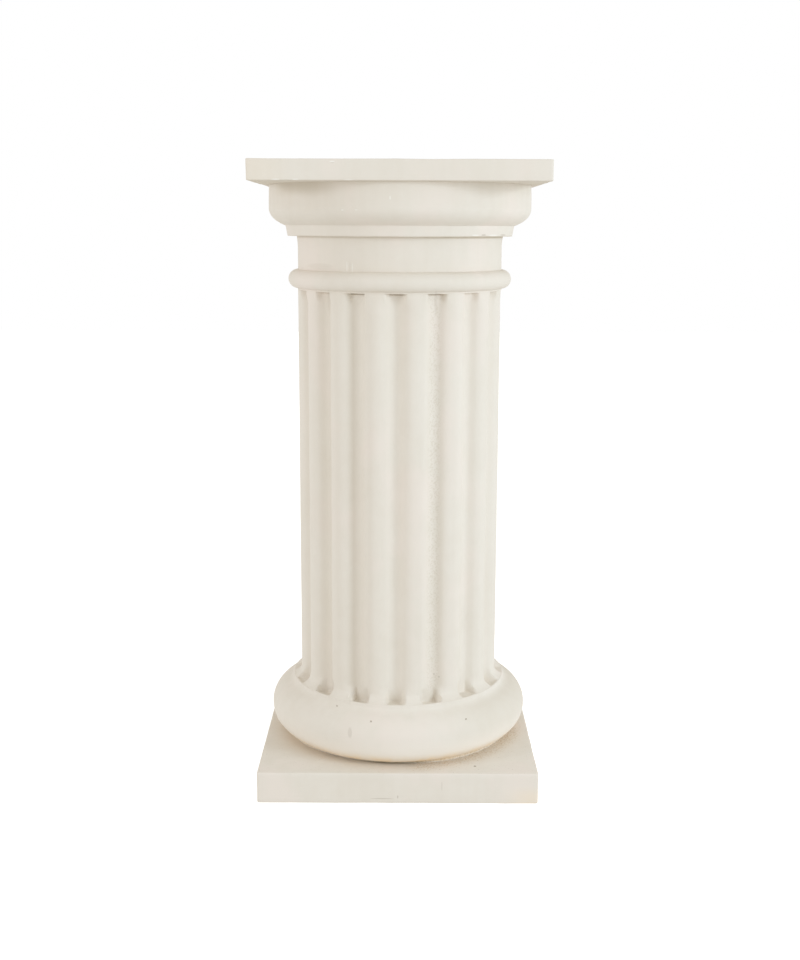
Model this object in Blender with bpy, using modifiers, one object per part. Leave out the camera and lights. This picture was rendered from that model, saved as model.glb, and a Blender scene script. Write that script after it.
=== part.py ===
# Doric pedestal column, cast in one piece: a square plinth, a round base roll with a thin rim,
# a fluted shaft, a neck ring, a plain neck, a round capital and a square top slab.
# Metres, +Z up. The origin is the middle of the plinth's underside, and -Y is the front.

import math

import bmesh
import bpy

# Square slabs at the foot and the head
plinth_width = 0.341
plinth_thickness = 0.0386
abacus_width = 0.340
abacus_thickness = 0.0240
slab_edge_radius = 0.0014

# Base roll, a half oval that bulges from a narrower seat on the plinth
roll_radius = 0.1657
roll_bulge = 0.0438
roll_height = 0.0694
roll_seat_height = 0.0014

# Thin rim that stands on the roll and closes the flutes' feet
rim_rise = 0.0044
rim_width = 0.0030
rim_cove = 0.0030
rim_edge = 0.0008

# Fluted shaft, from the top of the roll to the foot of the neck ring
shaft_height = 0.5038
shaft_foot_radius = 0.1272
shaft_head_radius = 0.1263
foot_flare_width = 0.0073
foot_flare_height = 0.0110

# Flutes: a hollow arc whose two edges roll over into broad ribs. Each one runs down into a pocket
# behind the rim, a little below the rim's top.
flute_count = 16
flute_width = 0.0280
flute_depth = 0.0090
flute_edge_radius = 0.0080
flute_head_band = 0.0018
pocket_depth = 0.0036
rim_clearance = 0.0004

# Neck ring, plain neck and the flat band above it
ring_radius = 0.1386
ring_height = 0.0232
neck_radius = 0.1265
neck_height = 0.0400
neck_flare_width = 0.0012
neck_flare_height = 0.0160
band_head_radius = 0.1415
band_foot_radius = 0.1392
band_height = 0.0125

# Round capital under the top slab: an upright side that turns in over a quarter oval
capital_radius = 0.1618
capital_head_radius = 0.1612
capital_height = 0.0485
capital_turn_height = 0.0205

# How finely round shapes are cut into facets
turn_steps = 64
roll_steps = 12
ring_steps = 8
capital_steps = 6
flare_steps = 4
floor_steps = 4
edge_steps = 4
mouth_steps = 4
smooth_angle = math.radians(32)
weld_distance = 0.00002

# Heights of the joints between the parts, from the ground up
plinth_top = plinth_thickness
roll_top = plinth_top + roll_height
ring_foot = roll_top + shaft_height
neck_foot = ring_foot + ring_height
band_foot = neck_foot + neck_height
capital_foot = band_foot + band_height
abacus_foot = capital_foot + capital_height
rim_top = roll_top + rim_rise
rim_inner_radius = shaft_foot_radius + foot_flare_width
rim_outer_radius = rim_inner_radius + rim_width


def clear_scene():
    for old in list(bpy.data.objects):
        bpy.data.objects.remove(old, do_unlink=True)


def new_collection(name):
    collection = bpy.data.collections.new(name)
    bpy.context.scene.collection.children.link(collection)
    return collection


def add_object(name, data, collection):
    thing = bpy.data.objects.new(name, data)
    collection.objects.link(thing)
    return thing


def hide_helper(helper):
    helper.hide_render = True
    helper.display_type = "WIRE"


def cast_plaster():
    material = bpy.data.materials.new("cast plaster")
    material.use_nodes = True
    shader = material.node_tree.nodes["Principled BSDF"]
    shader.inputs["Base Color"].default_value = (0.78, 0.73, 0.64, 1.0)
    shader.inputs["Roughness"].default_value = 0.85
    shader.inputs["Metallic"].default_value = 0.0
    return material


def square_slab(name, width, thickness, foot, collection):
    # A block with softened edges, standing on the height foot.
    mesh = bpy.data.meshes.new(name)
    block = bmesh.new()
    bmesh.ops.create_cube(block, size=1.0)
    bmesh.ops.scale(block, vec=(width, width, thickness), verts=block.verts)
    bmesh.ops.translate(block, vec=(0, 0, foot + thickness / 2), verts=block.verts)
    block.to_mesh(mesh)
    block.free()
    slab = add_object(name, mesh, collection)
    bevel = slab.modifiers.new("soft edges", "BEVEL")
    bevel.width = slab_edge_radius
    bevel.segments = 2
    hide_helper(slab)
    return slab


def capital_profile():
    # From inside the top slab down to the flat band: a nearly upright side, then a quarter oval.
    turn_foot_radius = band_head_radius
    turn_width = capital_radius - turn_foot_radius
    turn_head = capital_foot + capital_turn_height
    points = [(0.0, abacus_foot + abacus_thickness / 2)]
    points.append((capital_head_radius, abacus_foot + abacus_thickness / 2))
    points.append((capital_head_radius, abacus_foot))
    for k in range(capital_steps + 1):
        a = math.pi / 2 * k / capital_steps
        height = turn_head - capital_turn_height * math.sin(a)
        points.append((turn_foot_radius + turn_width * math.cos(a), height))
    return points


def neck_profile():
    # The band's tapered face and flat underside, then the neck, which flares a little at its head.
    points = [(band_foot_radius, band_foot)]
    for k in range(flare_steps + 1):
        share = k / flare_steps
        spread = neck_flare_width * (1 - share) ** 2
        points.append((neck_radius + spread, band_foot - neck_flare_height * share))
    return points


def ring_profile():
    # A half round from the neck's radius out to the ring's own and back in to the shaft's.
    middle = ring_foot + ring_height / 2
    points = []
    for k in range(ring_steps + 1):
        a = math.pi * (0.5 - k / ring_steps)
        inner = neck_radius if a > 0 else shaft_head_radius
        reach = math.cos(a)
        points.append((inner + (ring_radius - inner) * reach, middle + ring_height / 2 * math.sin(a)))
    return points


def foot_profile():
    # The ribs' foot is a hollow quarter oval that spreads from the shaft to the rim's inner edge.
    points = []
    for k in range(flare_steps + 1):
        a = math.pi / 2 * (1 - k / flare_steps)
        points.append((
            shaft_foot_radius + foot_flare_width * (1 - math.sin(a)),
            rim_top + foot_flare_height * (1 - math.cos(a)),
        ))
    return points


def roll_height_at(radius):
    # Height of the roll's upper side where it has this radius.
    reach = (radius - roll_radius + roll_bulge) / roll_bulge
    return plinth_top + roll_height / 2 * (1 + math.sqrt(1 - reach ** 2))


def roll_profile():
    # The rim's outer side and small cove, the half oval, and its short upright seat on the plinth.
    middle = plinth_top + roll_height / 2
    core = roll_radius - roll_bulge
    meet_radius = rim_outer_radius + rim_cove
    meet_height = roll_height_at(meet_radius)
    points = [
        (rim_outer_radius - rim_edge, rim_top),
        (rim_outer_radius, rim_top - rim_edge),
        (rim_outer_radius + rim_cove / 4, meet_height + rim_cove),
        (rim_outer_radius + rim_cove / 2, meet_height + rim_cove / 2),
    ]
    head = math.asin((meet_height - middle) / (roll_height / 2))
    foot = -math.asin(1 - roll_seat_height / (roll_height / 2))
    for k in range(roll_steps + 1):
        a = head + (foot - head) * k / roll_steps
        points.append((core + roll_bulge * math.cos(a), middle + roll_height / 2 * math.sin(a)))
    seat = points[-1][0]
    points.append((seat, plinth_top))
    points.append((seat, plinth_thickness / 2))
    points.append((0.0, plinth_thickness / 2))
    return points


def turned_body(collection):
    # The whole outline from the top slab to the plinth, carried once round the axis. It starts half
    # a step off the front, so that every flute lies in the middle of a facet.
    outline = capital_profile() + neck_profile() + ring_profile() + foot_profile() + roll_profile()
    start = math.pi / turn_steps
    mesh = bpy.data.meshes.new("column")
    points = [(r * math.cos(start), r * math.sin(start), z) for r, z in outline]
    edges = [(k, k + 1) for k in range(len(points) - 1)]
    mesh.from_pydata(points, edges, [])
    body = add_object("column", mesh, collection)
    screw = body.modifiers.new("turned", "SCREW")
    screw.axis = "Z"
    screw.steps = turn_steps
    screw.render_steps = turn_steps
    screw.use_merge_vertices = True
    screw.merge_threshold = weld_distance
    return body


def flute_outline():
    # The section of one cut, wrapped round the shaft: a hollow arc for the floor and a rounded arc
    # for each edge, which meet without a kink. The edge arcs end lying along the shaft's surface.
    half = flute_width / 2
    centre_distance = (half ** 2 + flute_depth ** 2) / (2 * flute_depth)
    floor_radius = centre_distance - flute_edge_radius
    steepest = math.asin(half / centre_distance)
    section = []
    for k in range(floor_steps + 1):
        a = steepest * k / floor_steps
        section.append((floor_radius * math.sin(a), flute_depth - floor_radius * (1 - math.cos(a))))
    for k in range(1, edge_steps + 1):
        a = steepest * (1 - k / edge_steps)
        section.append((half - flute_edge_radius * math.sin(a), flute_edge_radius * (1 - math.cos(a))))
    section = [(-across, deep) for across, deep in reversed(section[1:])] + section
    mouth = flute_width / shaft_foot_radius
    inner = [(shaft_foot_radius - deep, across / shaft_foot_radius) for across, deep in section]
    outer = [
        (rim_inner_radius - rim_clearance, mouth * (0.5 - k / mouth_steps))
        for k in range(mouth_steps + 1)
    ]
    return [(r * math.cos(a), r * math.sin(a)) for r, a in inner + outer]


def flute_cutter(collection):
    # One bar with that section, from behind the rim up to the flute's head, which leans in with the
    # shaft's taper.
    outline = flute_outline()
    foot = rim_top - pocket_depth
    head = ring_foot - flute_head_band

    curve = bpy.data.curves.new("flute outline", "CURVE")
    curve.dimensions = "2D"
    curve.fill_mode = "BOTH"
    curve.extrude = (head - foot) / 2
    line = curve.splines.new("POLY")
    line.points.add(len(outline) - 1)
    for point, (x, y) in zip(line.points, outline):
        point.co = (x, y, 0.0, 1.0)
    line.use_cyclic_u = True
    drawn = add_object("flute outline", curve, collection)
    drawn.location.z = (head + foot) / 2
    bpy.context.view_layer.update()
    mesh = bpy.data.meshes.new_from_object(drawn.evaluated_get(bpy.context.evaluated_depsgraph_get()))
    mesh.transform(drawn.matrix_world)
    bpy.data.objects.remove(drawn, do_unlink=True)

    bar = bmesh.new()
    bar.from_mesh(mesh)
    bmesh.ops.remove_doubles(bar, verts=bar.verts, dist=weld_distance)
    bmesh.ops.recalc_face_normals(bar, faces=bar.faces)
    taper = shaft_foot_radius - shaft_head_radius
    for corner in bar.verts:
        if corner.co.z > (head + foot) / 2:
            corner.co.x -= taper
    bar.to_mesh(mesh)
    bar.free()
    mesh.name = "flute cutter"
    return mesh


def place_flutes(collection):
    # The same bar at each flute, with one flute facing the front.
    mesh = flute_cutter(collection)
    for k in range(flute_count):
        cutter = add_object(f"flute_cutter_{k + 1:02d}", mesh, collection)
        cutter.rotation_euler.z = -math.pi / 2 + 2 * math.pi * k / flute_count
        hide_helper(cutter)


def add_union(body, other, name):
    joined = body.modifiers.new(name, "BOOLEAN")
    joined.operation = "UNION"
    joined.solver = "EXACT"
    joined.object = other


def add_cuts(body, collection, name):
    cuts = body.modifiers.new(name, "BOOLEAN")
    cuts.operation = "DIFFERENCE"
    cuts.solver = "EXACT"
    cuts.operand_type = "COLLECTION"
    cuts.collection = collection


def shade_body(body):
    # The finished surface, smooth where it is round and sharp at its edges.
    bpy.context.view_layer.update()
    mesh = bpy.data.meshes.new_from_object(body.evaluated_get(bpy.context.evaluated_depsgraph_get()))
    body.modifiers.clear()
    body.data = mesh
    mesh.name = body.name
    mesh.shade_smooth()
    mesh.set_sharp_from_angle(angle=smooth_angle)
    mesh.materials.clear()
    mesh.materials.append(cast_plaster())


def build_column():
    clear_scene()
    parts = new_collection("doric column")
    slabs = new_collection("slabs")
    cutters = new_collection("flute cutters")
    column = turned_body(parts)
    place_flutes(cutters)
    add_cuts(column, cutters, "flutes")
    add_union(column, square_slab("plinth", plinth_width, plinth_thickness, 0.0, slabs), "plinth")
    add_union(column, square_slab("abacus", abacus_width, abacus_thickness, abacus_foot, slabs), "abacus")
    shade_body(column)


build_column()
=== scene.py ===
# A doric pedestal column in bare cast plaster: one turned, fluted casting between two square slabs.
# It is one surface, worked out over two parameters: the direction round the axis and the way up
# the outline. Metres, Z up, -Y is the front.
import math

import bpy
import numpy as np
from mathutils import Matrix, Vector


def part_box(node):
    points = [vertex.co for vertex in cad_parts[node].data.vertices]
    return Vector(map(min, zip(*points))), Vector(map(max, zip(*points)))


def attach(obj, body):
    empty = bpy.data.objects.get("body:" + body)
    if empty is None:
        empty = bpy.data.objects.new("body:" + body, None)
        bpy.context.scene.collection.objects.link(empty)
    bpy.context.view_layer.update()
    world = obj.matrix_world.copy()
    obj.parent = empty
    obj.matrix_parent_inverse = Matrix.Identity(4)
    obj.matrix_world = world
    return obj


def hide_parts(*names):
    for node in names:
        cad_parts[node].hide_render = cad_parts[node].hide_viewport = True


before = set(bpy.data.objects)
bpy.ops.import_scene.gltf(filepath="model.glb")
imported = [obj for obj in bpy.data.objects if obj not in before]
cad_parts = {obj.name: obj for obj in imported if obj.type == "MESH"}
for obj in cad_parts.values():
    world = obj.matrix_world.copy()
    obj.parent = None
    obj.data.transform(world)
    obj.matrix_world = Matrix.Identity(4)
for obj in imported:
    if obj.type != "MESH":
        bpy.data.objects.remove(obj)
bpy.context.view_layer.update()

columnLow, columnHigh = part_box("column")
print("frame loaded, column box", tuple(columnLow), tuple(columnHigh))


# Directions round the axis

around = {
    "flutes": 16,
    "turn": math.radians(-1.8),            # the flutes stand a little off square to the slabs
    "fluteColumns": 24,
    "crowding": 0.45,                      # how much closer the steps are halfway up a flank
    "cornerColumns": 9,
    "cornerSpread": math.radians(1.0),
    "cornerPacking": 1.6,                  # how much closer a corner's steps are at the corner itself
    "cornerClear": 1.3,                    # other steps give way within this many spreads
}


def directionsAround(c):
    # The same steps for each flute: a share s of the half pitch becomes s + crowding sin(2 pi s) / 2 pi.
    # Round each slab corner these give way to a close fan of steps that holds the corner itself.
    share = np.arange(c["fluteColumns"]) / c["fluteColumns"] * 2 - 1
    share = share + c["crowding"] * np.sin(2 * math.pi * share) / (2 * math.pi)
    middles = -math.pi / 2 + c["turn"] + 2 * math.pi / c["flutes"] * np.arange(c["flutes"])
    flutes = (middles[:, None] + math.pi / c["flutes"] * share[None, :]).ravel() % (2 * math.pi)
    corners = math.pi / 4 + math.pi / 2 * np.arange(4)
    fan = np.linspace(-1, 1, c["cornerColumns"])
    fan = c["cornerSpread"] * np.sign(fan) * np.abs(fan) ** c["cornerPacking"]
    away = np.abs((flutes[:, None] - corners[None, :] + math.pi) % (2 * math.pi) - math.pi).min(1)
    kept = flutes[away > c["cornerSpread"] * c["cornerClear"]]
    return np.sort(np.concatenate([kept, (corners[:, None] + fan[None, :]).ravel()]))


turns = directionsAround(around)
halfPitch = math.pi / around["flutes"]                     # angle from a groove's middle to a rib's crest
ahead = (turns + math.pi / 2 - around["turn"]) / (2 * halfPitch)
flute = np.round(ahead).astype(int) % around["flutes"]     # nearest groove, from the front to the right
aside = (ahead - np.round(ahead)) * 2 * halfPitch          # angle from its middle
fromGroove = np.abs(aside)
print("directions round the axis:", len(turns))


# Small helpers for rows of the surface. A stretch of rows is a pair of arrays, the distance from the
# axis and the height, each with one row per step up the outline and one column per direction.

def smooth(x, start, end):
    # Smoothstep: 0 before start, 1 after end, 3t^2 - 2t^3 between.
    t = np.clip((x - start) / (end - start), 0, 1)
    return t * t * (3 - 2 * t)


def turned(radii, heights):
    # The same outline in every direction.
    radii, heights = np.atleast_1d(radii), np.atleast_1d(heights)
    plain = np.ones(len(turns))
    return radii[:, None] * plain, heights[:, None] * plain


def squareReach(half, corner):
    # Distance from the axis to a square's side: half / cos of the angle off the side's middle, and
    # the far crossing with the corner's circle where the side has turned into it.
    half = np.atleast_1d(half)[:, None]
    off = np.abs((turns + math.pi / 4) % (math.pi / 2) - math.pi / 4)[None, :]
    straight = half / np.cos(off)
    centre = half - corner
    along = centre * (np.cos(off) + np.sin(off))
    arc = along + np.sqrt(np.maximum(along ** 2 - 2 * centre ** 2 + corner ** 2, 0))
    return np.where(half * np.tan(off) > centre, arc, straight)


def flatBetween(inner, outer, height, shares):
    # A level ring from the inner line to the outer one, by shares of the way.
    shares = np.asarray(shares, float)[:, None]
    inner, outer = np.broadcast_to(inner, len(turns)), np.broadcast_to(outer, len(turns))
    reach = inner[None, :] + (outer - inner)[None, :] * shares
    return reach, np.full_like(reach, height)


# Square slabs

plinth = {"half": 0.1705, "foot": 0.0, "head": 0.0386, "edge": 0.0016, "corner": 0.0022, "sideRows": 6}
abacus = {"half": 0.1700, "foot": 0.7360, "head": 0.7600, "edge": 0.0014, "corner": 0.0020, "sideRows": 5}
edgeRows = 4


def slabSide(c):
    # A quarter round out of the underside, the straight side, and a quarter round into the top.
    bend = np.linspace(0, math.pi / 2, edgeRows)
    low = c["foot"] + c["edge"] * (1 - np.cos(bend))
    high = c["head"] - c["edge"] * (1 - np.sin(bend))
    side = np.linspace(low[-1], high[0], c["sideRows"] + 2)[1:-1]
    inset = np.concatenate([c["edge"] * (1 - np.sin(bend)), 0 * side, c["edge"] * (1 - np.cos(bend))])
    heights = np.concatenate([low, side, high])
    reach = squareReach(c["half"] - inset, c["corner"])
    return reach, np.broadcast_to(heights[:, None], reach.shape)


# Base roll: a half oval that stands on a narrower seat and carries a thin rim

roll = {
    "core": 0.1219, "bulge": 0.0438, "foot": plinth["head"], "height": 0.0694, "seat": 0.0016,
    "filledSeat": 0.0032, "fullness": 0.80, "rows": 36,
    "openTurn": -0.25, "openHalf": 0.30, "filledHalf": 0.80,       # angle of the open joint, and its spread
}
rim = {
    "inner": 0.1345, "outer": 0.1377, "top": 0.1124, "edge": 0.0014, "meet": 0.1455,
    "sweepRows": 7, "edgeRows": 4,
}


def rollSurface():
    # Radius = core + bulge cos a, height = middle + half height sin a, from the seat to the rim. Below
    # the middle a power under 1 of the cosine makes it fuller.
    # The seat is low where the joint under it stands open, left of the front, and is filled up elsewhere.
    half = roll["height"] / 2
    middle = roll["foot"] + half
    bearing = (turns + 1.5 * math.pi) % (2 * math.pi) - math.pi
    filled = smooth(np.abs(bearing - roll["openTurn"]), roll["openHalf"], roll["filledHalf"])
    seat = roll["seat"] + (roll["filledSeat"] - roll["seat"]) * filled
    first = -np.arcsin(1 - seat / half)
    last = math.acos((rim["meet"] - roll["core"]) / roll["bulge"])
    a = first + (last - first) * np.linspace(0, 1, roll["rows"])[:, None]
    out = np.cos(a) ** np.where(a < 0, roll["fullness"], 1.0)
    radii, heights = roll["core"] + roll["bulge"] * out, middle + half * np.sin(a)
    return np.vstack([radii[:1], radii]), np.vstack([0 * heights[:1] + roll["foot"], heights])


def rimSurface():
    # A hollow curve sweeps up from the roll: a quadratic Bezier that starts along the roll and ends
    # upright, then a quarter round on to the rim's level top.
    half = roll["height"] / 2
    out = (rim["meet"] - roll["core"]) / roll["bulge"]
    start = np.array([rim["meet"], roll["foot"] + half * (1 + math.sqrt(1 - out ** 2))])
    fall = half * out / (roll["bulge"] * math.sqrt(1 - out ** 2))
    bend = np.array([rim["outer"], start[1] + fall * (rim["meet"] - rim["outer"])])
    end = np.array([rim["outer"], rim["top"] - rim["edge"]])
    t = np.linspace(0, 1, rim["sweepRows"] + 1)[1:, None]
    sweep = (1 - t) ** 2 * start + 2 * t * (1 - t) * bend + t ** 2 * end
    a = np.linspace(0, math.pi / 2, rim["edgeRows"] + 1)[1:]
    radii = np.append(sweep[:, 0], rim["outer"] - rim["edge"] * (1 - np.cos(a)))
    heights = np.append(sweep[:, 1], rim["top"] - rim["edge"] * (1 - np.sin(a)))
    return turned(radii, heights)


# Shaft: full, rounded ribs and hollow grooves that run into each other and down behind the rim

shaft = {
    "footRadius": 0.1280, "headRadius": 0.1271, "flareHeight": 0.0100,
    "head": 0.6118, "ribRadius": 0.0235, "grooveRadius": 0.0120, "flank": math.radians(40.0),
    "pocketDepth": 0.0050, "pocketRows": 16, "pocketFlat": 0.0080, "pocketEdge": 0.0134,
    "pocketStart": 0.0020, "pocketHeight": 0.0180,       # a pocket narrows into its groove between these
    "headHeight": 0.0170, "headBand": 0.0018, "headOpening": 0.8,
    "slit": 0.0018, "slitHeight": 0.0015, "rows": 52, "endRows": 5,
}
# For each flute, from the front one round to the right: how deep the plaster in its pocket leaves it,
# the angle by which the pocket's middle lies to the right of the flute's, and how open the slit at its
# head is.
pocketShare = np.array([0.55, 0.80, 0.25, 0.35, 0, 0.5, 0.7, 0.9, 0.6, 0.8, 0.5, 0.7, 0, 0.30, 1.0, 1.0])
pocketTurn = np.array([0.005, -0.045, -0.03, 0, 0, 0, 0, 0, 0, 0, 0, 0, 0, 0, 0.03, 0.045])
slitShare = np.array([1.0, 0.8, 0.1, 0, 0, 0.3, 0.5, 0.8, 0.4, 0.8, 0.2, 0.6, 0, 0, 0.25, 1.0])


def fluteRise(across):
    # Height of the wave over the groove's floor: a hollow arc, a straight flank at the given slope,
    # and a round arc up to the rib's crest, half a pitch away.
    hollow, crest, flank = shaft["grooveRadius"], shaft["ribRadius"], shaft["flank"]
    half = halfPitch * shaft["footRadius"]
    straight = half - (hollow + crest) * math.sin(flank)
    top = (hollow + crest) * (1 - math.cos(flank)) + straight * math.tan(flank)
    low = hollow - np.sqrt(np.maximum(hollow ** 2 - across ** 2, 0))
    high = top - crest + np.sqrt(np.maximum(crest ** 2 - (half - across) ** 2, 0))
    slope = hollow * (1 - math.cos(flank)) + (across - hollow * math.sin(flank)) * math.tan(flank)
    rise = np.where(half - across < crest * math.sin(flank), high, slope)
    return np.where(across < hollow * math.sin(flank), low, rise), top


def grooveShare(heights):
    # Share of the groove's depth, 1 on its floor and 0 on a crest: that of the wave along the shaft,
    # and of a wider hollow with steep sides down in the pocket, blended over the pocket's height. It
    # widens the same way, a little less, toward the head.
    s = shaft
    rise, depth = fluteRise(fromGroove * s["footRadius"])
    wave = (1 - rise / depth)[None, :]
    off = np.abs(aside - pocketTurn[flute]) * s["footRadius"]
    pocket = 1 - smooth(off, s["pocketFlat"], s["pocketEdge"])[None, :]
    upward = smooth(heights, rim["top"] + s["pocketStart"], rim["top"] + s["pocketHeight"])[:, None]
    opened = 1 - smooth(fromGroove * s["footRadius"], s["pocketFlat"], s["pocketEdge"])[None, :]
    headward = smooth(heights, s["head"] - s["headHeight"], s["head"] - s["headBand"])[:, None]
    share = pocket + (wave - pocket) * upward
    return share + (opened - share) * headward * s["headOpening"], depth


def shaftSurface():
    s = shaft
    flareTop = rim["top"] + s["flareHeight"]
    floorRadius = s["footRadius"] - fluteRise(fromGroove)[1]

    # Behind the rim: the ribs spread with the square of the way down, and the grooves drop over the
    # rim's inner side to a pocket floor.
    t = np.linspace(0, 1, s["pocketRows"] + 1)[1:]
    ribRadius = s["footRadius"] + (rim["outer"] - rim["edge"] - s["footRadius"]) * (1 - t) ** 2
    ribHeight = rim["top"] + s["flareHeight"] * t
    wayDown = [0, 0.0625, 0.125, 0.1875, 0.25, 0.42, 0.55, 0.64, 1]
    floorR = np.interp(t, wayDown, [
        rim["outer"] - rim["edge"], rim["inner"] + 0.0003, rim["inner"] - 0.0002, rim["inner"] - 0.0006,
        rim["inner"] - 0.0022, floorRadius + 0.0030, floorRadius + 0.0008, floorRadius, floorRadius,
    ])
    fallen = np.interp(t, wayDown, [0, 0, 0.30, 0.92, 1, 0.96, 0.80, 0.40, 0])
    lift = np.interp(t, wayDown, [0, 0, 0, 0, 0, 0, 0, 0.15, 1])
    drop = s["pocketDepth"] * pocketShare[flute]
    floorZ = rim["top"] + s["flareHeight"] * lift[:, None] - fallen[:, None] * drop[None, :]
    share = grooveShare(ribHeight)[0]
    pocketR = ribRadius[:, None] + (floorR - ribRadius)[:, None] * share
    pocketZ = ribHeight[:, None] + (floorZ - ribHeight[:, None]) * share

    # The long stretch, with the shaft's slight taper and closer rows where the pockets run out.
    slitTop = s["head"] - s["headBand"]
    runOut = rim["top"] + s["pocketHeight"]
    opening = s["head"] - s["headHeight"]
    z = np.concatenate([
        np.linspace(flareTop, runOut, s["endRows"] + 1)[1:],
        np.linspace(runOut, opening, s["rows"])[1:],
        np.linspace(opening, slitTop - 2 * s["slitHeight"], s["endRows"] + 1)[1:],
    ])
    taper = s["footRadius"] + (s["headRadius"] - s["footRadius"]) * (z - flareTop) / (s["head"] - flareTop)
    share, depth = grooveShare(z)
    longR = taper[:, None] - depth * share
    longZ = z[:, None] * np.ones(len(turns))

    # The head: a thin undercut right below the flat end of the groove, then a plain band.
    share = share[-1:]
    slitOpen = smooth(share, 0.35, 0.75) * slitShare[flute]
    steps = np.array([-1.35, -1.0, -0.25, 0.0, 0.35])
    deeper = np.array([0.0, 1.0, 1.0, 0.0, 0.0])
    cut = np.array([1.0, 1.0, 1.0, 0.0, 0.0])
    headR = s["headRadius"] - depth * share * cut[:, None]
    headR = headR - s["slit"] * deeper[:, None] * slitOpen
    headZ = (slitTop + s["slitHeight"] * steps)[:, None] * np.ones(len(turns))
    return np.vstack([pocketR, longR, headR]), np.vstack([pocketZ, longZ, headZ])


# Neck ring, neck, flat band and round capital

ring = {"radius": 0.1386, "foot": shaft["head"], "height": 0.0232, "rows": 18}
neck = {"radius": 0.1265, "height": 0.0400, "flare": 0.0012, "flareHeight": 0.0160, "rows": 9}
band = {
    "footRadius": 0.1392, "headRadius": 0.1415, "height": 0.0125, "edge": 0.0008, "rows": 4,
    "underRow": 0.0050,                        # how far out from the neck its flat underside has a row
    "headInset": 0.0003, "headDrop": 0.0004,   # where its face stops, short of the capital
}
capital = {
    "radius": 0.1618, "headRadius": 0.1612, "turnHeight": 0.0210, "slant": 0.38,
    "turnRows": 16, "sideRows": 7,
}
neckFoot = ring["foot"] + ring["height"]
bandFoot = neckFoot + neck["height"]
capitalFoot = bandFoot + band["height"]


def ringSurface():
    # A half round out from the shaft and back in to the neck.
    a = np.linspace(-math.pi / 2, math.pi / 2, ring["rows"])
    inner = np.where(a < 0, shaft["headRadius"], neck["radius"])
    radii = inner + (ring["radius"] - inner) * np.cos(a)
    return turned(radii, ring["foot"] + ring["height"] / 2 * (1 + np.sin(a)))


def neckSurface():
    # Upright, then spreading with the square of the height just under the band.
    z = np.linspace(neckFoot, bandFoot, neck["rows"] + 1)[1:]
    rise = np.clip((z - z[-1]) / neck["flareHeight"] + 1, 0, 1)
    return turned(neck["radius"] + neck["flare"] * rise ** 2, z)


def bandSurface():
    # A flat underside, a worn lower edge and a face that leans out.
    edge, foot = band["edge"], bandFoot
    face = np.linspace(0, 1, band["rows"] + 2)[1:-1]
    under = neck["radius"] + neck["flare"] + band["underRow"]
    radii = [under, band["footRadius"] - edge, band["footRadius"] - 0.25 * edge]
    heights = [foot, foot, foot + 0.25 * edge]
    radii += list(band["footRadius"] + (band["headRadius"] - band["headInset"] - band["footRadius"]) * face)
    heights += list(foot + edge + (capitalFoot - band["headDrop"] - foot - edge) * face)
    return turned(radii, heights)


def capitalSurface():
    # A quadratic Bezier out from the band, which leaves it at a slant and ends upright, then a nearly
    # upright side up to the slab.
    foot = capitalFoot
    t = np.linspace(0, 1, capital["turnRows"])
    radii = band["headRadius"] + (capital["radius"] - band["headRadius"]) * (2 * t - t ** 2)
    heights = foot + capital["turnHeight"] * (2 * capital["slant"] * t * (1 - t) + t ** 2)
    side = np.linspace(0, 1, capital["sideRows"] + 1)[1:]
    upper = capital["radius"] + (capital["headRadius"] - capital["radius"]) * side ** 2
    top = foot + capital["turnHeight"] + (abacus["foot"] - foot - capital["turnHeight"]) * side
    return turned(np.append(radii, upper), np.append(heights, top))


def wholeOutline():
    # Every stretch in order, from the middle of the underside to the middle of the top.
    rollRows, capitalRows = rollSurface(), capitalSurface()
    plinthSide, abacusSide = slabSide(plinth), slabSide(abacus)
    acrossTop = [0.05, 0.15, 0.3, 0.45, 0.6, 0.75, 0.88, 0.96]
    stretches = [
        flatBetween(0, plinthSide[0][0], plinth["foot"], [0.35, 0.7, 0.95]),
        plinthSide,
        flatBetween(plinthSide[0][-1], rollRows[0][0], plinth["head"], acrossTop),
        rollRows,
        rimSurface(),
        shaftSurface(),
        ringSurface(),
        neckSurface(),
        bandSurface(),
        capitalRows,
        flatBetween(capitalRows[0][-1], abacusSide[0][0], abacus["foot"], [0.12, 0.4, 0.7, 0.94]),
        abacusSide,
        flatBetween(abacusSide[0][-1], 0, abacus["head"], [0.06, 0.25, 0.5, 0.75]),
    ]
    reach = np.vstack([s[0] for s in stretches])
    height = np.vstack([s[1] for s in stretches])
    return reach, height


# Hand-cast unevenness

casting = {
    "seed": 11, "waves": 26, "shortest": 0.7, "longest": 1.6,      # shares of the wavelengths below
    "broad": 0.00022, "broadLength": 0.085,      # slow swelling of all faces
    "fine": 0.00007, "fineLength": 0.016,        # faint unevenness
    "sharpAngle": math.radians(38),              # edges turned more than this stay crisp
}


def waveField(points, length, rng):
    # A sum of sine waves with random directions and phases, of about the given wavelength, scaled
    # to stay mostly between -1 and 1.
    waves = casting["waves"]
    heading = rng.normal(size=(waves, 3))
    heading /= np.linalg.norm(heading, axis=1, keepdims=True)
    pace = 2 * math.pi / (length * rng.uniform(casting["shortest"], casting["longest"], waves))
    phase = rng.uniform(0, 2 * math.pi, waves)
    total = np.zeros(points.shape[:-1])
    for k in range(waves):
        total += np.sin(points @ (heading[k] * pace[k]) + phase[k])
    return total / math.sqrt(waves)


def gridNormals(points):
    # Cross product of the steps round and up, each taken across both neighbours.
    sideways = np.roll(points, -1, axis=1) - np.roll(points, 1, axis=1)
    up = np.gradient(points, axis=0)
    normal = np.cross(sideways, up)
    return normal / np.maximum(np.linalg.norm(normal, axis=2, keepdims=True), 1e-12)


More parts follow.
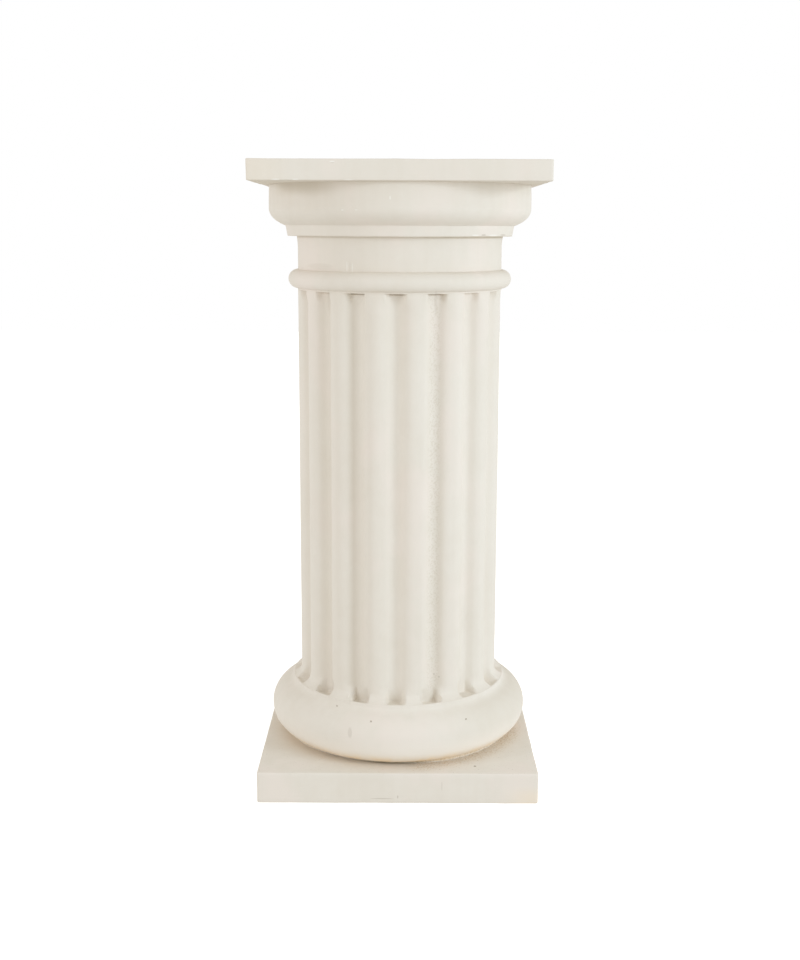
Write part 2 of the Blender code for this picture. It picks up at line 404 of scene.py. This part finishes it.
def columnMesh():
    # The outline's rows turned to points, pressed in a little by the waves, joined into quads between
    # rows, and closed by a fan round the middle of the underside and of the top.
    reach, height = wholeOutline()
    points = np.stack([reach * np.cos(turns), reach * np.sin(turns), height], axis=2)
    rng = np.random.default_rng(casting["seed"])
    broad = waveField(points, casting["broadLength"], rng) * casting["broad"]
    fine = waveField(points, casting["fineLength"], rng) * casting["fine"]
    points = points - gridNormals(points) * (np.abs(broad) + np.abs(fine))[:, :, None]
    points[:, :, 2] = np.clip(points[:, :, 2], columnLow.z, columnHigh.z)

    rows, columns = reach.shape
    index = np.arange(rows * columns).reshape(rows, columns)
    right = np.roll(index, -1, axis=1)
    quads = np.stack([index[:-1], right[:-1], right[1:], index[1:]], axis=2).reshape(-1, 4)
    footPole, headPole = rows * columns, rows * columns + 1
    under = np.stack([right[0], index[0], np.full(columns, footPole)], axis=1)
    over = np.stack([index[-1], right[-1], np.full(columns, headPole)], axis=1)
    corners = np.vstack([points.reshape(-1, 3), [[0, 0, columnLow.z], [0, 0, columnHigh.z]]])
    mesh = bpy.data.meshes.new("columnCasting")
    mesh.from_pydata(corners, [], quads.tolist() + under.tolist() + over.tolist())
    mesh.validate()
    mesh.shade_smooth()
    mesh.set_sharp_from_angle(angle=casting["sharpAngle"])
    print("column surface:", rows, "rows,", columns, "columns,", len(quads) * 2 + 2 * columns, "triangles")
    return mesh


# Shader helpers

class Signal:
    # A socket of a shader tree. Arithmetic on it adds Math nodes.
    def __init__(self, finish, socket):
        self.finish, self.socket = finish, socket

    def calc(self, operation, *values):
        return self.finish.add("ShaderNodeMath", {"operation": operation}, dict(enumerate(values)))

    def __add__(self, other):
        return self.calc("ADD", self, other)

    def __radd__(self, other):
        return self.calc("ADD", other, self)

    def __sub__(self, other):
        return self.calc("SUBTRACT", self, other)

    def __rsub__(self, other):
        return self.calc("SUBTRACT", other, self)

    def __mul__(self, other):
        return self.calc("MULTIPLY", self, other)

    def __rmul__(self, other):
        return self.calc("MULTIPLY", other, self)

    def __truediv__(self, other):
        return self.calc("DIVIDE", self, other)

    def __pow__(self, other):
        return self.calc("POWER", self, other)

    def larger(self, other):
        return self.calc("MAXIMUM", self, other)

    def fade(self, start, end):
        # 0 at start, 1 at end, smooth between and flat beyond.
        return self.finish.add(
            "ShaderNodeMapRange", {"interpolation_type": "SMOOTHSTEP"},
            {"Value": self, "From Min": start, "From Max": end}, "Result",
        )


class Finish:
    # One material: add() makes a node, sets its settings, then fills or links its sockets.
    def __init__(self, name):
        self.material = bpy.data.materials.new(name)
        self.material.use_nodes = True
        self.tree = self.material.node_tree
        self.shader = self.tree.nodes["Principled BSDF"]

    def fill(self, socket, value):
        if isinstance(value, Signal):
            self.tree.links.new(value.socket, socket)
        elif isinstance(value, tuple) and len(value) == 3 and len(socket.default_value) == 4:
            socket.default_value = (*value, 1.0)
        else:
            socket.default_value = value

    def add(self, kind, settings=None, sockets=None, output=0):
        node = self.tree.nodes.new(kind)
        for name, value in (settings or {}).items():
            setattr(node, name, value)
        for name, value in (sockets or {}).items():
            self.fill(node.inputs[name], value)
        return Signal(self, node.outputs[output])

    def mix(self, factor, first, second):
        # Colours only: sockets 6 and 7 are the two colours, output 2 the result.
        return self.add(
            "ShaderNodeMix", {"data_type": "RGBA", "blend_type": "MIX", "clamp_factor": True},
            {0: factor, 6: first, 7: second}, 2,
        )

    def noise(self, place, scale, detail, roughness):
        return self.add(
            "ShaderNodeTexNoise", {"noise_dimensions": "3D"},
            {"Vector": place, "Scale": scale, "Detail": detail, "Roughness": roughness}, "Fac",
        )

    def stretch(self, place, scale, shift=(0.0, 0.0, 0.0)):
        sockets = {"Vector": place, "Scale": scale, "Location": shift}
        return self.add("ShaderNodeMapping", {}, sockets, "Vector")

    def surface(self, name, value):
        self.fill(self.shader.inputs[name], value)


# Bare cast plaster, warm off-white, with a damp stain round the foot of the roll; painted shade darkens its
# hollows and the undersides of its mouldings, and painted bounce light pales the roll low down

plaster = {
    "light": (0.820, 0.768, 0.695), "deep": (0.780, 0.722, 0.640), "rosy": (0.835, 0.760, 0.690),
    "roughness": 0.82, "roughnessSwing": 0.12, "specular": 0.25,
    "bumpStrength": 0.25, "bumpDistance": 0.0008,
    "bounceLight": (0.925, 0.860, 0.780),             # painted bounce light: paler plaster low on the roll
    "warm": (0.920, 0.740, 0.510),             # damp stain on the roll's lower edge
    "brown": (0.560, 0.430, 0.270),            # damp stain on the roll and the plinth, and painted shade on the plinth at the left
    "contactShade": (0.240, 0.190, 0.080),          # painted contact shade, with a dirt tint, in the corner under the roll
    "dustAndShade": (0.520, 0.440, 0.310),             # painted shade in the flutes, the pockets and under the mouldings, and dust specks in one groove
    "speck": (0.300, 0.240, 0.170),
    "scuff": (0.950, 0.930, 0.880),
}

# How strong the painted shade and the dirt are at most in each place
soilAndShade = {
    "pocket": 0.08, "underSlabShade": 0.20, "slabShadowLeft": 0.32, "slabShadowRight": 0.12, "rollRight": 0.16,
    "leftGrooveShade": 0.17, "speckledGroove": 0.22, "plinthShadowLeft": 0.05, "corner": 0.50,
    "lowRight": 0.28, "highLeft": 0.10, "specks": 0.60,
}

# Small marks of the front: place across and up, half width and half height, and how dark each is.
# A negative darkness is a pale scuff, and a place in y is for a mark on a level face.
marks = [
    {"x": -0.0326, "z": 0.0970, "wide": 0.0011, "tall": 0.0009, "dark": 0.70},      # air holes in the roll
    {"x": 0.0836, "z": 0.0938, "wide": 0.0011, "tall": 0.0009, "dark": 0.70},
    {"x": -0.0754, "z": 0.1050, "wide": 0.0011, "tall": 0.0008, "dark": 0.55},
    {"x": -0.0581, "z": 0.0834, "wide": 0.0028, "tall": 0.0060, "dark": 0.18},      # smudge on the roll
    {"x": 0.0946, "y": -0.1471, "z": 0.0386, "wide": 0.0018, "tall": 0.0030, "dark": 0.80},   # in the plinth
    {"x": 0.0003, "z": 0.0084, "wide": 0.0008, "tall": 0.0022, "dark": 0.35},       # scratches, plinth
    {"x": -0.0190, "z": 0.0062, "wide": 0.0140, "tall": 0.0007, "dark": 0.28},
    {"x": 0.0536, "z": 0.0228, "wide": 0.0009, "tall": 0.0060, "dark": 0.14},
    {"x": 0.0445, "z": 0.1432, "wide": 0.0012, "tall": 0.0014, "dark": 0.26},       # crumbs in a groove
    {"x": 0.0480, "z": 0.1462, "wide": 0.0010, "tall": 0.0010, "dark": -0.35},
    {"x": 0.0505, "z": 0.1400, "wide": 0.0013, "tall": 0.0013, "dark": 0.22},
    {"x": 0.0425, "z": 0.6000, "wide": 0.0018, "tall": 0.0150, "dark": 0.13},       # streaks at flute heads
    {"x": -0.0835, "z": 0.6000, "wide": 0.0022, "tall": 0.0140, "dark": 0.10},
    {"x": -0.0940, "z": 0.6400, "wide": 0.0160, "tall": 0.0040, "dark": 0.08},      # smudge on the neck
    {"x": -0.0611, "z": 0.6404, "wide": 0.0006, "tall": 0.0070, "dark": -0.50},     # scuffs on the neck
    {"x": -0.0575, "z": 0.6404, "wide": 0.0005, "tall": 0.0060, "dark": 0.16},
    {"x": -0.0545, "z": 0.6395, "wide": 0.0006, "tall": 0.0060, "dark": -0.40},
    {"x": 0.0880, "z": 0.6770, "wide": 0.0045, "tall": 0.0009, "dark": -0.55},      # the band's ragged edge
    {"x": 0.0980, "z": 0.6772, "wide": 0.0030, "tall": 0.0011, "dark": 0.30},
    {"x": 0.1100, "z": 0.6768, "wide": 0.0060, "tall": 0.0010, "dark": -0.50},
    {"x": 0.1230, "z": 0.6772, "wide": 0.0040, "tall": 0.0010, "dark": 0.28},
    {"x": -0.0644, "z": 0.7047, "wide": 0.0014, "tall": 0.0007, "dark": -0.55},     # scuffs on the capital
    {"x": -0.0485, "z": 0.7047, "wide": 0.0016, "tall": 0.0006, "dark": -0.45},
    {"x": -0.0105, "z": 0.7180, "wide": 0.0009, "tall": 0.0022, "dark": -0.50},
    {"x": -0.0745, "z": 0.7565, "wide": 0.0030, "tall": 0.0008, "dark": -0.60},     # wear on the top slab
    {"x": -0.0740, "z": 0.7552, "wide": 0.0022, "tall": 0.0006, "dark": 0.16},
    {"x": -0.1370, "z": 0.7372, "wide": 0.0050, "tall": 0.0008, "dark": -0.60},
    {"x": -0.1150, "z": 0.7372, "wide": 0.0038, "tall": 0.0008, "dark": -0.50},
    {"x": -0.0560, "z": 0.7370, "wide": 0.0060, "tall": 0.0007, "dark": -0.40},
]
holeDarkness = 0.5                             # a mark darker than this is sunk too


def castPlaster():
    f = Finish("castPlaster")
    c = plaster
    place = f.add("ShaderNodeTexCoord", {}, {}, "Object")
    x, y, z = (f.add("ShaderNodeSeparateXYZ", {}, {"Vector": place}, axis) for axis in "XYZ")
    reach = (x * x + y * y) ** 0.5
    bearing = x.calc("ARCTAN2", x, 0 - y)                   # angle from the front, positive to the right
    inGroove = x.calc("PINGPONG", bearing - around["turn"], halfPitch) / halfPitch
    front = y.fade(0.0, -0.04)

    # Plain tone: soft clouds, fine mottling and faint upright streaks between two plasters, with
    # rosier patches.
    cloudy = f.noise(place, 7.0, 4.0, 0.55)
    mottled = f.noise(place, 55.0, 4.0, 0.6)
    streaked = f.noise(f.stretch(place, (90.0, 90.0, 3.0)), 1.0, 3.0, 0.5)
    grain = f.noise(place, 900.0, 2.0, 0.6)
    grit = f.noise(place, 420.0, 3.0, 0.7)
    patches = f.noise(f.stretch(place, (14.0, 14.0, 9.0), (3.0, 1.0, 7.0)), 1.0, 3.0, 0.6)
    tone = cloudy.fade(0.3, 0.7) * 0.45 + mottled.fade(0.3, 0.7) * 0.30 + streaked.fade(0.35, 0.65) * 0.25
    colour = f.mix(tone, c["deep"], c["light"])
    colour = f.mix(patches.fade(0.46, 0.70) * 0.8, colour, c["rosy"])

    # Painted shade, with some dust, in the pockets at the foot of the flutes; painted shade under the top
    # slab and the band, as the slab's shadow on the capital's sides, and in the left grooves; a darker
    # tint on the right of the roll; and specks of dust in the groove right of the front.
    # Painted shade with some dust, deepest in the pockets toward the front.
    pocket = (1 - inGroove.fade(0.30, 0.62)) * z.fade(0.1190, 0.1105) * z.fade(0.100, 0.104)
    pocket = pocket * reach.fade(0.1352, 0.1335) * (0.25 + 0.75 * bearing.fade(0.60, 0.10))
    pocket = pocket * y.fade(-0.04, -0.09) * soilAndShade["pocket"]
    # Painted shade in the crease under the top slab.
    underSlabShade = z.fade(0.7353, 0.7358) * z.fade(0.7372, 0.7366) * soilAndShade["underSlabShade"]
    # Painted shadow of the top slab on the capital, at its left and right sides.
    sides = bearing.fade(-0.40, -0.70) * bearing.fade(-1.25, -0.95) * soilAndShade["slabShadowLeft"]
    sides = sides + bearing.fade(0.45, 0.75) * soilAndShade["slabShadowRight"]
    shade = z.fade(0.718, 0.731) * reach.fade(0.1640, 0.1630) * sides * front
    # Painted shade under the band's lip.
    underBandShade = reach.fade(0.1400, 0.1385) * z.fade(0.6725, 0.6738) * z.fade(0.6768, 0.6755)
    underBandShade = underBandShade * (0.25 + 0.25 * x.fade(0.0, 0.09))
    rollRight = z.fade(0.110, 0.100) * z.fade(0.040, 0.050) * x.fade(0.04, 0.12) * soilAndShade["rollRight"]
    shadeAndDustMask = pocket.larger(underSlabShade.larger(shade)).larger(underBandShade.larger(rollRight))
    inside = (1 - inGroove.fade(0.10, 0.60)) * z.fade(0.1150, 0.1300) * z.fade(0.6118, 0.6100)
    # Painted shade in the left grooves.
    leftGrooveShade = inside * bearing.fade(-0.15, -0.75) * front * soilAndShade["leftGrooveShade"]
    speckled = inside * bearing.fade(0.26, 0.31) * bearing.fade(0.46, 0.40)
    speckled = speckled * grit.fade(0.50, 0.58) * soilAndShade["speckledGroove"]
    colour = f.mix(shadeAndDustMask + leftGrooveShade + speckled, colour, c["dustAndShade"])

    # Round the seat of the roll: painted bounce light pales the roll low down; a damp stain warms its
    # foot and browns the plinth in grains at the right; painted shade browns the plinth at the left and
    # darkens the corner itself, which also holds dirt.
    onRoll = z.fade(0.0386, 0.0400) * reach.fade(0.1690, 0.1670)
    # Painted bounce light: the roll paler low down, more so toward the front and right.
    bounceLight = z.fade(0.0820, 0.0520) * (0.55 + 0.45 * bearing.fade(-0.85, -0.35))
    warm = z.fade(0.0600, 0.0425) * (0.5 + 0.5 * mottled.fade(0.40, 0.60))
    brown = z.fade(0.0450, 0.0415) * (0.20 + 0.35 * grit.fade(0.42, 0.58))
    colour = f.mix(onRoll * bounceLight, colour, c["bounceLight"])
    colour = f.mix(onRoll * warm, colour, c["warm"])
    colour = f.mix(onRoll * brown, colour, c["brown"])
    onTop = z.fade(0.0376, 0.0381) * z.fade(0.0394, 0.0390)
    # Painted shade on the plinth's top at the left, under the roll.
    left = bearing.fade(-0.30, -0.75) * reach.fade(0.1760, 0.1500) * soilAndShade["plinthShadowLeft"]
    right = bearing.fade(0.02, 0.20) * reach.fade(0.1720, 0.1520) * (0.06 + 0.52 * grit.fade(0.50, 0.60))
    colour = f.mix(onTop * front * left.larger(right), colour, c["brown"])
    # Painted contact shade, with dirt, in the corner under the roll.
    corner = reach.fade(0.1425, 0.1395) * z.fade(0.0420, 0.0396) * z.fade(0.0376, 0.0381)
    corner = corner * bearing.fade(0.40, -0.05) * bearing.fade(-0.50, -0.10)
    colour = f.mix(corner * soilAndShade["corner"], colour, c["contactShade"])

    # Warm stains low on the plinth and at the top slab's left, and specks on the plinth's top.
    lowRight = x.fade(0.120, 0.165) * z.fade(0.026, 0.008) * front * soilAndShade["lowRight"]
    highLeft = x.fade(-0.115, -0.155) * z.fade(0.7355, 0.7370) * front * soilAndShade["highLeft"]
    colour = f.mix(lowRight + highLeft, colour, c["warm"])
    specks = onTop * front * grit.fade(0.665, 0.70) * reach.fade(0.155, 0.160)
    colour = f.mix(specks * soilAndShade["specks"], colour, c["speck"])

    # The single marks, each an oval on the front.
    holes = None
    for mark in marks:
        across, above = (x - mark["x"]) / mark["wide"], (z - mark["z"]) / mark["tall"]
        out = across * across + above * above
        if "y" in mark:
            inward = (y - mark["y"]) / mark["wide"]
            out = out + inward * inward
        oval = out.fade(1.4, 0.3) * front
        toward = c["speck"] if mark["dark"] > 0 else c["scuff"]
        colour = f.mix(oval * abs(mark["dark"]), colour, toward)
        if mark["dark"] > holeDarkness:
            holes = oval if holes is None else holes + oval

    f.surface("Base Color", colour)
    f.surface("Roughness", c["roughness"] + (grain - 0.5) * c["roughnessSwing"])
    f.surface("Specular IOR Level", c["specular"])
    height = grain * 0.25 + mottled * 0.8 + grit * 0.3 - holes * 1.5
    sockets = {"Strength": c["bumpStrength"], "Distance": c["bumpDistance"], "Height": height}
    f.surface("Normal", f.add("ShaderNodeBump", {}, sockets, "Normal"))
    return f.material


def addPiece(name, mesh, material):
    piece = bpy.data.objects.new(name, mesh)
    bpy.context.scene.collection.objects.link(piece)
    mesh.materials.append(material)
    return piece


columnCasting = addPiece("columnCasting", columnMesh(), castPlaster())
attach(columnCasting, "root")
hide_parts("column")
print("column made")


# Floor, light and camera

studio = {
    "floorSize": 14.0, "floorDrop": 0.0003, "floorColour": (0.92, 0.92, 0.92), "floorGlow": 0.55,
    "sky": (0.705, 0.695, 0.655),              # the warm fill the object gets
    "aim": (0.0, 0.0, 0.40), "distance": 2.6, "rise": math.radians(12),
    "rightBox": {"turn": math.radians(57), "power": 25.0, "size": 0.8, "colour": (0.86, 1.0, 1.14)},
    "leftBox": {"turn": math.radians(-61), "power": 13.8, "size": 0.8, "colour": (0.95, 1.0, 1.10)},
}


def paleFloor(c):
    # A level square, a hair below the plinth, that glows a little as a lit white sweep does.
    half, z = c["floorSize"] / 2, -c["floorDrop"]
    corners = [(-half, -half, z), (half, -half, z), (half, half, z), (-half, half, z)]
    mesh = bpy.data.meshes.new("floor")
    mesh.from_pydata(corners, [], [(0, 1, 2, 3)])
    f = Finish("paleFloor")
    f.surface("Base Color", c["floorColour"])
    f.surface("Roughness", 0.9)
    f.surface("Specular IOR Level", 0.0)
    f.surface("Emission Color", (1.0, 1.0, 1.0))
    f.surface("Emission Strength", c["floorGlow"])
    return addPiece("floor", mesh, f.material)


def whiteSky(c):
    # White all round: full white where the camera sees it, and a softer fill on the object.
    world = bpy.data.worlds.new("whiteSky")
    bpy.context.scene.world = world
    world.use_nodes = True
    nodes, links = world.node_tree.nodes, world.node_tree.links
    path = nodes.new("ShaderNodeLightPath")
    tint = nodes.new("ShaderNodeMix")
    tint.data_type = "RGBA"
    tint.inputs[6].default_value = (*c["sky"], 1.0)
    tint.inputs[7].default_value = (1.0, 1.0, 1.0, 1.0)
    links.new(path.outputs["Is Camera Ray"], tint.inputs[0])
    links.new(tint.outputs[2], nodes["Background"].inputs["Color"])


def softBox(name, c):
    # A square area light on a sphere round the aim point, turned from the front toward the right and
    # raised by the common rise, which faces that point.
    box, level = c[name], math.cos(c["rise"])
    data = bpy.data.lights.new(name, "AREA")
    data.energy, data.size, data.color = box["power"], box["size"], box["colour"]
    lamp = bpy.data.objects.new(name, data)
    out = np.array([math.sin(box["turn"]) * level, -math.cos(box["turn"]) * level, math.sin(c["rise"])])
    lamp.location = np.array(c["aim"]) + c["distance"] * out
    lamp.rotation_euler = (math.pi / 2 - c["rise"], 0.0, box["turn"])
    bpy.context.scene.collection.objects.link(lamp)


floor = paleFloor(studio)
floor.visible_diffuse = False              # its bounce on the column is in the sky's fill already
whiteSky(studio)
softBox("rightBox", studio)
softBox("leftBox", studio)
print("studio made")

view = {
    "lens": 48.08, "sensor": 36.0, "tilt": math.radians(11.14), "height": 0.6855,
    "distance": 1.6206, "side": 0.0048, "turn": 0.0029, "roll": -0.0036,
}
cameraData = bpy.data.cameras.new("camera")
cameraData.lens = view["lens"]
cameraData.sensor_width = view["sensor"]
camera = bpy.data.objects.new("camera", cameraData)
camera.location = (view["side"], -view["distance"], view["height"])
camera.rotation_euler = (math.pi / 2 - view["tilt"], view["roll"], view["turn"])
bpy.context.scene.collection.objects.link(camera)
bpy.context.scene.camera = camera
bpy.context.scene.view_settings.view_transform = "Standard"
print("camera set")
